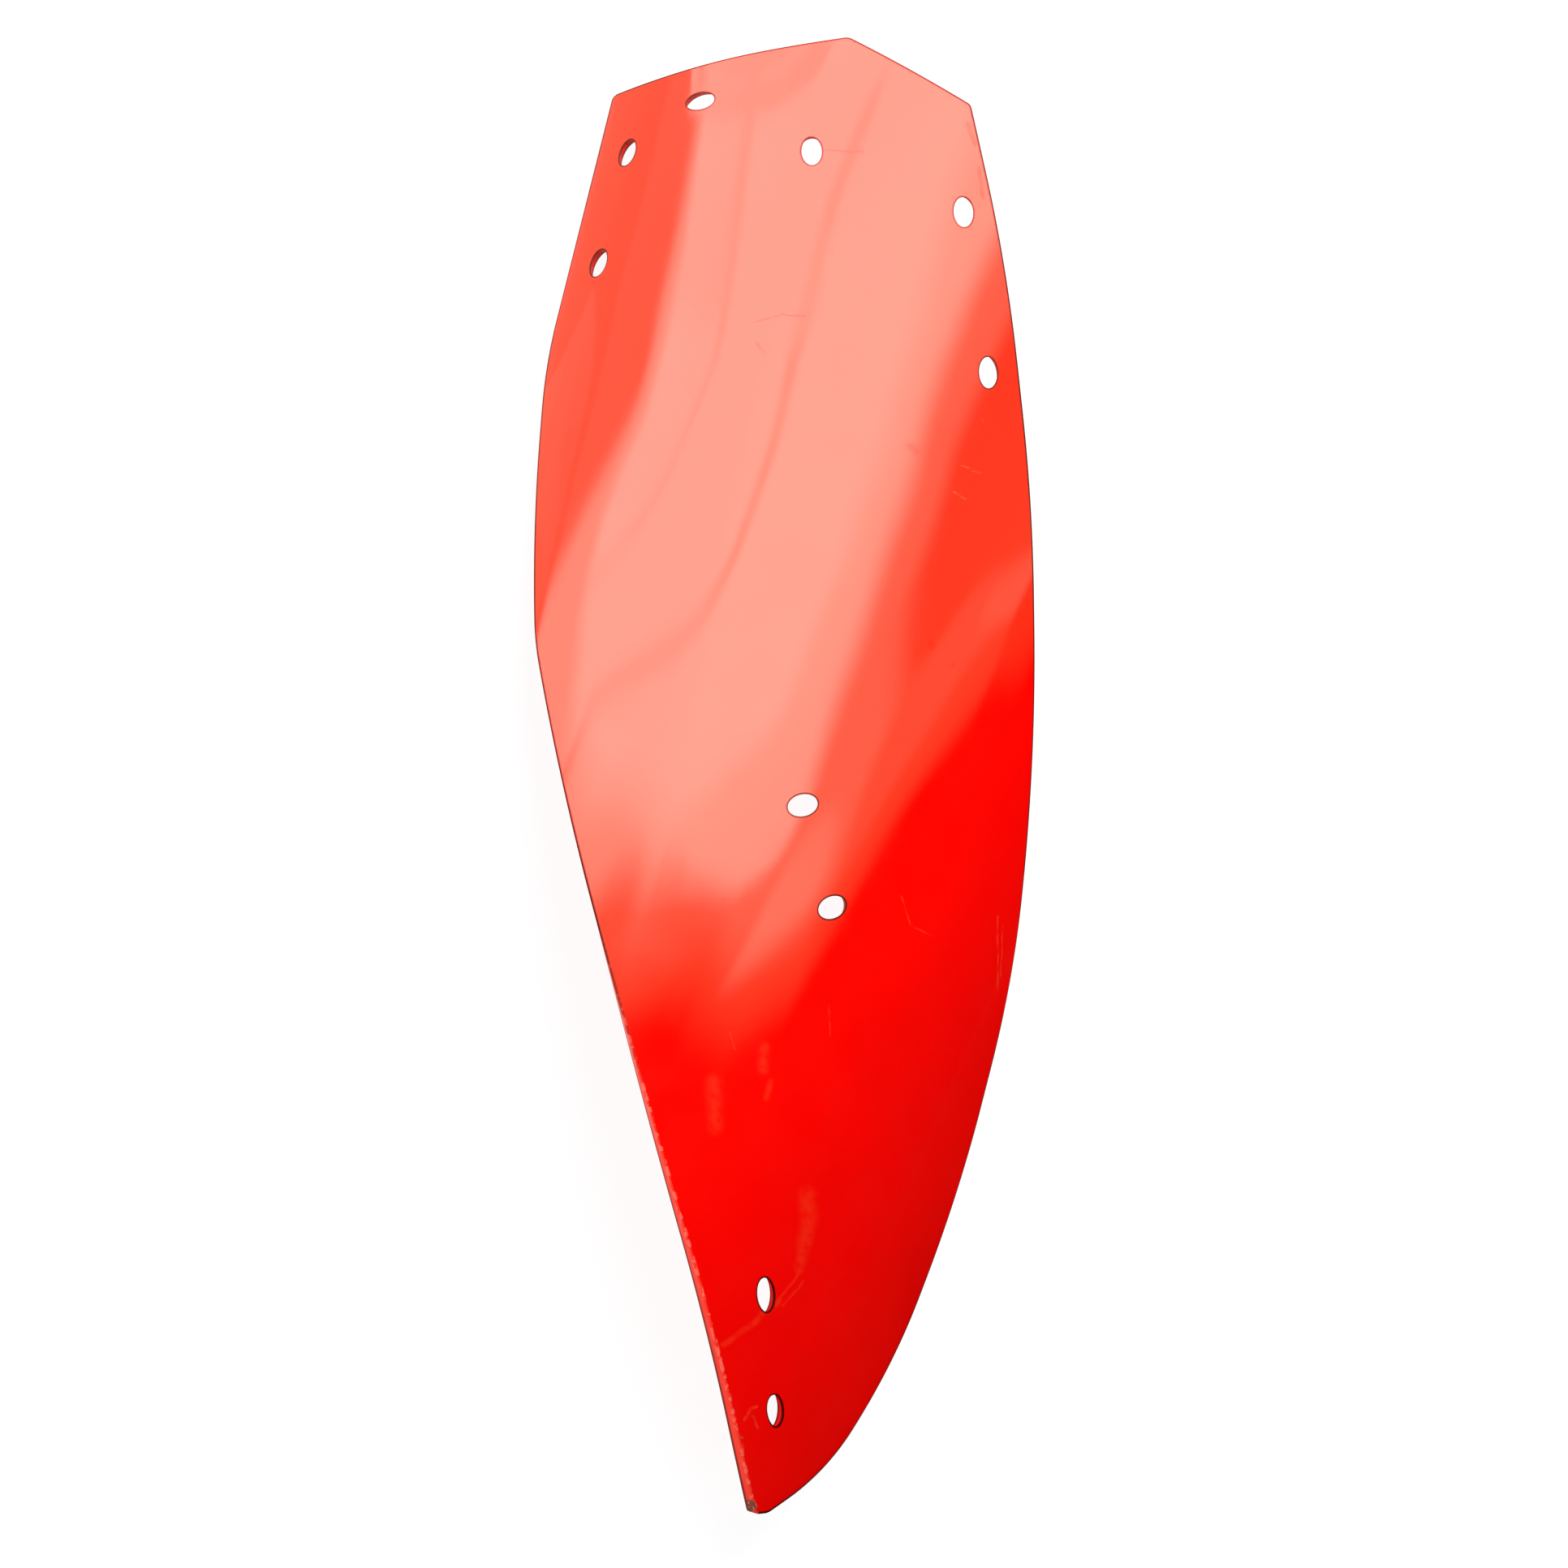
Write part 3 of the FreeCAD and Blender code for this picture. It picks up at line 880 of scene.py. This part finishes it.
# %% [markdown]
# The stage is a plain pale floor that renders white to the camera and still takes the plate's
# shadow: what the camera sees is its own colour, with the shadow left in by a share of plain
# shading. Reflections in the paint see the same white, and so does whatever looks through a hole.

# %% Floor and world
FLOOR_SIZE = 12.0
FLOOR_GREY = 0.8
FLOOR_GLOW = 0.93
SHADOW_SHARE = 0.12
WORLD_LEVEL = 0.42


def seen_directly(tree):
    """One for camera, mirror and transmission rays, zero for the rays that carry plain light."""
    path = place(tree, "ShaderNodeLightPath").outputs
    direct = sums(tree, "MAXIMUM", path["Is Camera Ray"], path["Is Glossy Ray"])
    return sums(tree, "MAXIMUM", direct, path["Is Transmission Ray"])


def add_object(name, corners, sides):
    """Object made from corner points and the sides between them."""
    item_mesh = bpy.data.meshes.new(name)
    item_mesh.from_pydata(corners, [], sides)
    item = bpy.data.objects.new(name, item_mesh)
    bpy.context.collection.objects.link(item)
    return item


def make_floor():
    """Large pale floor under the plate."""
    half = FLOOR_SIZE / 2
    floor = add_object("floor", [(-half, -half, 0), (half, -half, 0), (half, half, 0),
                                 (-half, half, 0)], [(0, 1, 2, 3)])
    material = bpy.data.materials.new("floor_white")
    material.use_nodes = True
    tree = material.node_tree
    tree.nodes.remove(tree.nodes["Principled BSDF"])
    plain = place(tree, "ShaderNodeBsdfDiffuse", {"Color": (FLOOR_GREY, FLOOR_GREY, FLOOR_GREY, 1)})
    shadowed = place(tree, "ShaderNodeBsdfDiffuse",
                     {"Color": (SHADOW_SHARE, SHADOW_SHARE, SHADOW_SHARE, 1)})
    glow = place(tree, "ShaderNodeEmission", {"Color": (1, 1, 1, 1), "Strength": FLOOR_GLOW})
    both = place(tree, "ShaderNodeAddShader", {0: shadowed.outputs[0], 1: glow.outputs[0]})
    choose = place(tree, "ShaderNodeMixShader", {0: seen_directly(tree), 1: plain.outputs[0],
                                                 2: both.outputs[0]})
    tree.links.new(choose.outputs[0], tree.nodes["Material Output"].inputs["Surface"])
    floor.data.materials.append(material)


def make_world():
    """White surroundings to look at, and plain soft light from all round."""
    world = bpy.data.worlds.new("studio")
    bpy.context.scene.world = world
    world.use_nodes = True
    tree = world.node_tree
    background = tree.nodes["Background"]
    background.inputs["Color"].default_value = (1, 1, 1, 1)
    level = mix_values(tree, seen_directly(tree), WORLD_LEVEL, 1.0)
    tree.links.new(level, background.inputs["Strength"])


make_floor()
make_world()

# %% [markdown]
# Gloss paint shows what stands round it, and on this plate that is most of what the eye reads. It
# hangs in a pale tent, so the head of the plate mirrors the tent's panels and seams, the crown
# mirrors the dim side of the room, and the tail mirrors the dark. Each of these is a flat card
# that only reflections see. A card's edge fades out over a width given at each corner, because
# cloth and walls have no hard edges in a picture. Lower cards hide the ones above.

# %% Cards for reflections
CARD_GAP = 0.002


def light_tint(radiance):
    """Light of a card: dim corners of a room are warmer than a white sheet in full light."""
    blue = 0.70 + 0.26 * math.log(max(radiance, 0.1))
    return (1.0, 1.0, blue, 1.0)


def card_place(kind, level, across, along):
    """Point of a card on a level, on the wall past the head or on the wall past the crown."""
    return {"level": (across, along, level), "wall": (across, level, along),
            "side": (level, across, along)}[kind]


def card_material(name, radiance):
    """Glow that fades out by the strength that the card's mesh carries."""
    material = bpy.data.materials.new(name)
    material.use_nodes = True
    tree = material.node_tree
    tree.nodes.remove(tree.nodes["Principled BSDF"])
    strength = place(tree, "ShaderNodeAttribute", attribute_name="strength").outputs["Fac"]
    glow = place(tree, "ShaderNodeEmission",
                 {"Color": light_tint(radiance), "Strength": radiance})
    clear = place(tree, "ShaderNodeBsdfTransparent")
    blend = place(tree, "ShaderNodeMixShader", {0: fade(tree, strength, 0.0, 1.0),
                                                1: clear.outputs[0], 2: glow.outputs[0]})
    tree.links.new(blend.outputs[0], tree.nodes["Material Output"].inputs["Surface"])
    return material


def card(name, kind, level, radiance, corners):
    """Flat card; corners go counter-clockwise as (across, along, width of the soft edge)."""
    spots = [Vector(corner[:2]) for corner in corners]
    count = len(spots)
    inner, outer = [], []
    for index, spot in enumerate(spots):
        before = (spot - spots[index - 1]).normalized()
        after = (spots[(index + 1) % count] - spot).normalized()
        outward = Vector((before.y + after.y, -before.x - after.x)).normalized()
        lean = max(0.5, outward.dot(Vector((after.y, -after.x))))
        half_fade = outward * corners[index][2] / lean / 2
        inner.append(spot - half_fade)
        outer.append(spot + half_fade)
    ring = [(index, index + count, (index + 1) % count + count, (index + 1) % count)
            for index in range(count)]
    item = add_object(name, [card_place(kind, level, *spot) for spot in inner + outer],
                      [tuple(range(count))] + ring)
    strength = item.data.attributes.new("strength", "FLOAT", "POINT")
    strength.data.foreach_set("value", [1.0] * count + [0.0] * count)
    item.data.materials.append(card_material(name, radiance))
    for ray in ("camera", "diffuse", "transmission", "volume_scatter", "shadow"):
        setattr(item, "visible_" + ray, False)


def strip(name, kind, level, radiance, path, half_width, soft):
    """Narrow card along a path, such as a seam of the tent."""
    spots = [Vector(spot) for spot in path]
    near, far = [], []
    for index, spot in enumerate(spots):
        before, after = spots[max(0, index - 1)], spots[min(len(spots) - 1, index + 1)]
        way = (after - before).normalized()
        aside = Vector((way.y, -way.x)) * half_width
        near.append((*(spot + aside), soft))
        far.append((*(spot - aside), soft))
    card(name, kind, level, radiance, near + far[::-1])


# %% [markdown]
# The roof hangs 0.8 m above the floor and the wall stands 1 m past the middle, towards the point.
# The tent is brightest in the middle of each panel, a little duller towards its hem, and it lets
# go to the dim room past a straight edge on the crown's side. Beyond the tail everything is dark.

# %% The tent's roof and the room above
ROOF = 0.80
WALL = 1.00
SIDE = 1.20

strip("roof_seam_top", "level", ROOF, 3.7, [
    (-0.17, 1.0), (-0.20, 0.94), (-0.225, 0.88), (-0.24, 0.82)], 0.032, 0.05)
strip("roof_seam", "level", ROOF, 3.75, [
    (-0.245, 0.84), (-0.241, 0.79), (-0.221, 0.70)], 0.022, 0.040)
strip("roof_seam_bend", "level", ROOF, 3.3, [
    (-0.222, 0.71), (-0.216, 0.625), (-0.217, 0.56), (-0.234, 0.515), (-0.256, 0.48),
    (-0.295, 0.455), (-0.356, 0.448)], 0.022, 0.040)
strip("roof_seam_end", "level", ROOF, 3.75, [
    (-0.34, 0.443), (-0.459, 0.478), (-0.645, 0.567), (-0.927, 0.734), (-1.25, 0.94)],
      0.020, 0.038)
card("tent_roof", "level", ROOF + CARD_GAP, 4.55, [
    (-1.45, 1.00, 0.02), (-1.36, 0.96, 0.12), (-1.25, 0.885, 0.15), (-1.15, 0.80, 0.15),
    (-1.05, 0.715, 0.15), (-0.95, 0.63, 0.15), (-0.85, 0.545, 0.14), (-0.75, 0.475, 0.13),
    (-0.65, 0.42, 0.12), (-0.55, 0.365, 0.12), (-0.45, 0.30, 0.12), (-0.35, 0.235, 0.11),
    (-0.25, 0.175, 0.09), (-0.15, 0.145, 0.08), (-0.05, 0.135, 0.08), (0.05, 0.13, 0.08),
    (0.11, 0.16, 0.10), (0.15, 0.25, 0.12), (0.17, 0.40, 0.14), (0.17, 0.60, 0.16),
    (0.19, 0.75, 0.16), (0.22, 1.00, 0.02)])
card("tent_hem", "level", ROOF + 2 * CARD_GAP, 3.7, [
    (-1.20, 0.90, 0.02), (-0.40, 0.25, 0.06), (-0.28, 0.135, 0.08), (-0.20, 0.095, 0.06),
    (-0.10, 0.045, 0.035), (-0.03, 0.015, 0.028), (0.034, -0.015, 0.024), (0.10, -0.040, 0.022),
    (0.168, -0.050, 0.022), (0.234, -0.056, 0.026), (0.275, -0.04, 0.06), (0.292, 0.00, 0.12),
    (0.298, 0.10, 0.13), (0.298, 0.20, 0.13), (0.294, 0.33, 0.13), (0.295, 0.40, 0.13),
    (0.305, 0.46, 0.13), (0.33, 0.51, 0.12), (0.38, 0.56, 0.12), (0.46, 0.80, 0.10),
    (0.46, 0.99, 0.02)])
card("hem_fold", "level", ROOF + 3 * CARD_GAP, 2.95, [
    (-1.60, 0.95, 0.10), (-1.20, 0.66, 0.10), (-1.00, 0.52, 0.10), (-0.85, 0.42, 0.10),
    (-0.75, 0.35, 0.10), (-0.65, 0.285, 0.10), (-0.55, 0.25, 0.09), (-0.45, 0.215, 0.08),
    (-0.35, 0.172, 0.08), (-0.25, 0.115, 0.07), (-0.20, 0.20, 0.02), (-0.60, 0.60, 0.02),
    (-1.60, 0.99, 0.02)])
card("shelf_glint", "level", ROOF + 4 * CARD_GAP, 2.15, [
    (0.20, -0.14, 0.07), (0.26, -0.155, 0.05), (0.46, -0.165, 0.05), (0.50, -0.14, 0.06),
    (0.48, -0.10, 0.05), (0.42, -0.065, 0.05), (0.34, -0.06, 0.05), (0.27, -0.08, 0.06)])
card("room_light", "level", ROOF + 5 * CARD_GAP, 1.40, [
    (0.09, -0.02, 0.05), (0.115, -0.07, 0.06), (0.15, -0.105, 0.07), (0.20, -0.125, 0.07),
    (0.25, -0.145, 0.07), (0.32, -0.165, 0.06), (0.50, -0.185, 0.07), (0.555, -0.17, 0.08),
    (0.56, -0.05, 0.08), (0.57, 0.00, 0.09), (0.54, 0.045, 0.09), (0.49, 0.085, 0.09),
    (0.45, 0.13, 0.10), (0.44, 0.30, 0.10), (0.50, 0.45, 0.10), (0.60, 0.99, 0.02),
    (0.09, 0.99, 0.02)])
card("far_light", "level", ROOF + 6 * CARD_GAP, 0.90, [
    (-1.60, 0.75, 0.10), (-0.80, 0.24, 0.10), (-0.60, 0.18, 0.08), (-0.45, 0.12, 0.07),
    (-0.35, 0.085, 0.07), (-0.25, 0.045, 0.07), (-0.15, 0.01, 0.07), (-0.05, -0.03, 0.07),
    (0.05, -0.06, 0.06), (0.11, -0.095, 0.06), (0.18, -0.11, 0.04), (0.18, 0.99, 0.02),
    (-1.60, 0.99, 0.02)])
card("shelf_long", "level", ROOF + 7 * CARD_GAP, 1.10, [
    (0.90, 0.015, 0.04), (1.04, 0.00, 0.04), (1.22, -0.005, 0.04), (1.22, 0.045, 0.04),
    (1.04, 0.058, 0.05), (0.90, 0.06, 0.05)])
card("bench", "level", ROOF + 8 * CARD_GAP, 0.85, [
    (0.50, -0.19, 0.05), (0.60, -0.175, 0.05), (0.68, -0.14, 0.06), (0.75, -0.10, 0.06),
    (0.85, -0.06, 0.06), (0.95, -0.03, 0.05), (1.05, -0.015, 0.05), (1.22, -0.01, 0.05),
    (1.22, 0.05, 0.04), (1.00, 0.068, 0.04), (0.86, 0.08, 0.04), (0.78, 0.075, 0.04),
    (0.72, 0.055, 0.04), (0.66, 0.035, 0.04), (0.50, 0.04, 0.05)])
card("dim_room", "level", ROOF + 9 * CARD_GAP, 0.50, [
    (-1.50, 0.55, 0.12), (-0.60, 0.10, 0.12), (-0.35, 0.015, 0.08), (-0.25, -0.02, 0.08),
    (-0.15, -0.055, 0.08), (-0.05, -0.08, 0.08), (0.05, -0.115, 0.09), (0.10, -0.15, 0.09),
    (0.20, -0.195, 0.09), (0.30, -0.235, 0.10), (0.55, -0.265, 0.10), (0.70, -0.22, 0.10),
    (0.85, -0.165, 0.10), (1.00, -0.125, 0.10), (1.22, -0.11, 0.08), (1.22, 0.99, 0.02),
    (-1.50, 0.99, 0.02)])
card("dark_roof", "level", ROOF + 10 * CARD_GAP, 0.0, [
    (-1.60, -3.00, 0.02), (1.25, -3.00, 0.02), (1.25, 1.00, 0.02), (-1.60, 1.00, 0.02)])

# %% [markdown]
# The tent's wall comes down past the head and its hem hangs in a slack curve. Below the hem the
# far side of the room shows, and a white sheet lies on the floor at the share's side. Past the
# crown and past the tail there is nothing light.

# %% The tent's wall and the floor round it
strip("wall_seam", "wall", WALL - 3 * CARD_GAP, 3.6, [
    (-0.33, 0.27), (-0.354, 0.305), (-0.404, 0.35), (-0.469, 0.43), (-0.544, 0.563),
    (-0.605, 0.682), (-0.669, 0.762), (-0.76, 0.782), (-0.872, 0.765), (-0.969, 0.699),
    (-1.059, 0.585), (-1.13, 0.45)], 0.016, 0.035)
card("wall_top", "wall", WALL - 2 * CARD_GAP, 3.55, [
    (-0.445, 0.13, 0.05), (-0.435, 0.25, 0.06), (-0.40, 0.36, 0.06), (-0.35, 0.44, 0.08),
    (-0.28, 0.52, 0.08), (-0.15, 0.50, 0.05), (-0.15, 0.08, 0.02), (-0.38, 0.06, 0.02)])
card("wall_near", "wall", WALL - CARD_GAP, 4.1, [
    (-0.354, 0.32, 0.06), (-0.404, 0.37, 0.06), (-0.469, 0.45, 0.06), (-0.544, 0.58, 0.06),
    (-0.60, 0.66, 0.08), (-0.66, 0.60, 0.08), (-0.68, 0.345, 0.06), (-0.60, 0.285, 0.02),
    (-0.50, 0.21, 0.02), (-0.42, 0.15, 0.02), (-0.36, 0.10, 0.02), (-0.20, 0.10, 0.02),
    (-0.20, 0.32, 0.05)])
card("tent_wall", "wall", WALL, 4.5, [
    (0.30, 0.84, 0.01), (-1.39, 0.84, 0.20), (-1.35, 0.68, 0.18), (-1.28, 0.56, 0.18),
    (-1.21, 0.44, 0.18), (-1.14, 0.385, 0.15), (-1.05, 0.35, 0.12), (-0.95, 0.385, 0.10),
    (-0.86, 0.43, 0.08), (-0.80, 0.41, 0.08), (-0.70, 0.37, 0.08), (-0.60, 0.305, 0.07),
    (-0.50, 0.235, 0.06), (-0.42, 0.175, 0.05), (-0.36, 0.13, 0.05), (-0.20, 0.12, 0.05),
    (0.30, 0.15, 0.05)])
card("wall_hem", "wall", WALL + CARD_GAP, 3.0, [
    (0.30, 0.84, 0.01), (-2.30, 0.84, 0.01), (-2.30, 0.00, 0.01), (-1.20, 0.00, 0.16),
    (-1.14, 0.075, 0.14), (-1.05, 0.17, 0.12), (-0.95, 0.28, 0.10), (-0.86, 0.345, 0.08),
    (-0.78, 0.325, 0.08), (-0.70, 0.285, 0.07), (-0.62, 0.24, 0.07), (-0.52, 0.19, 0.06),
    (-0.44, 0.14, 0.05), (-0.38, 0.105, 0.04), (-0.20, 0.09, 0.04), (0.30, 0.10, 0.05)])
card("wall_foot", "wall", WALL + 2 * CARD_GAP, 1.13, [
    (0.40, 0.84, 0.01), (-2.40, 0.84, 0.01), (-2.40, 0.00, 0.01), (0.40, 0.00, 0.01)])
card("dim_side", "side", SIDE, 0.30, [
    (-0.07, 0.62, 0.15), (0.40, 0.50, 0.15), (1.00, 0.50, 0.02), (1.00, 0.84, 0.02),
    (-0.09, 0.84, 0.08)])
card("dark_side", "side", SIDE + CARD_GAP, 0.0, [
    (-3.00, 0.00, 0.01), (1.00, 0.00, 0.01), (1.00, 0.84, 0.01), (-3.00, 0.84, 0.01)])
card("sheet_glow", "level", 2 * CARD_GAP, 1.15, [
    (-0.15, 0.12, 0.10), (-0.34, 0.23, 0.12), (-0.48, 0.32, 0.12), (-0.54, 0.44, 0.12),
    (-0.42, 0.48, 0.12), (-0.22, 0.38, 0.12)])
card("sheet", "level", CARD_GAP, 0.93, [
    (-2.00, 0.05, 0.05), (-0.20, 0.05, 0.05), (0.10, 1.00, 0.02), (-2.00, 1.00, 0.02)])
card("dark_floor", "level", CARD_GAP, 0.0, [
    (-0.20, -3.00, 0.02), (1.20, -3.00, 0.02), (1.20, -0.15, 0.05), (-0.10, -0.24, 0.05)])

# %% [markdown]
# Two soft lamps light the paint itself. A square one hangs over the head of the plate, so the
# light falls off towards the tail, and a small low one at the share side keeps the sheared edge as
# bright as the face. Neither shows in the reflections: the cards do that.

# %% Lamps
def soft_lamp(name, where, target, size, watts):
    """Square area lamp that lights the plate but shows in no reflection."""
    lamp_data = bpy.data.lights.new(name, "AREA")
    lamp_data.shape = "SQUARE"
    lamp_data.size = size
    lamp_data.energy = watts
    lamp = bpy.data.objects.new(name, lamp_data)
    bpy.context.collection.objects.link(lamp)
    lamp.location = where
    lamp.rotation_euler = (Vector(target) - Vector(where)).to_track_quat("-Z", "Y").to_euler()
    lamp.visible_camera = False
    lamp.visible_glossy = False


soft_lamp("head_lamp", (0.00, 0.50, 1.15), (0.00, 0.10, 0.10), 0.9, 20.0)
soft_lamp("share_lamp", (-1.60, -0.30, 0.17), (0.0, -0.30, 0.06), 0.25, 10.0)

# %% [markdown]
# The camera stands where the photographer stood: two metres out, square on to the bulging back.
# Its lens follows from the size of the plate in the photograph, and a very small shift puts the
# middle of the view at its place in the frame.

# %% Camera
PHOTO_PIXELS = 1932
MM_PER_PIXEL = 0.605
VIEW_CENTRE_PIXEL = (965, 955)
SENSOR = 36.0

camera_data = bpy.data.cameras.new("camera")
camera_data.sensor_width = SENSOR
camera_data.lens = SENSOR * VIEW_DISTANCE / (PHOTO_PIXELS * MM_PER_PIXEL)
camera_data.shift_x = (PHOTO_PIXELS / 2 - VIEW_CENTRE_PIXEL[0]) / PHOTO_PIXELS
camera_data.shift_y = (VIEW_CENTRE_PIXEL[1] - PHOTO_PIXELS / 2) / PHOTO_PIXELS
camera = bpy.data.objects.new("camera", camera_data)
bpy.context.collection.objects.link(camera)
camera.matrix_world = (Matrix.Translation(Vector(at_rest(np.array([0.0, 0.0, VIEW_DISTANCE]))))
                       @ Matrix(REST_TURN.tolist()).to_4x4())
bpy.context.scene.camera = camera
bpy.context.scene.view_settings.view_transform = "Standard"
print("lens", round(camera_data.lens, 2), "camera at", [round(v, 3) for v in camera.location])
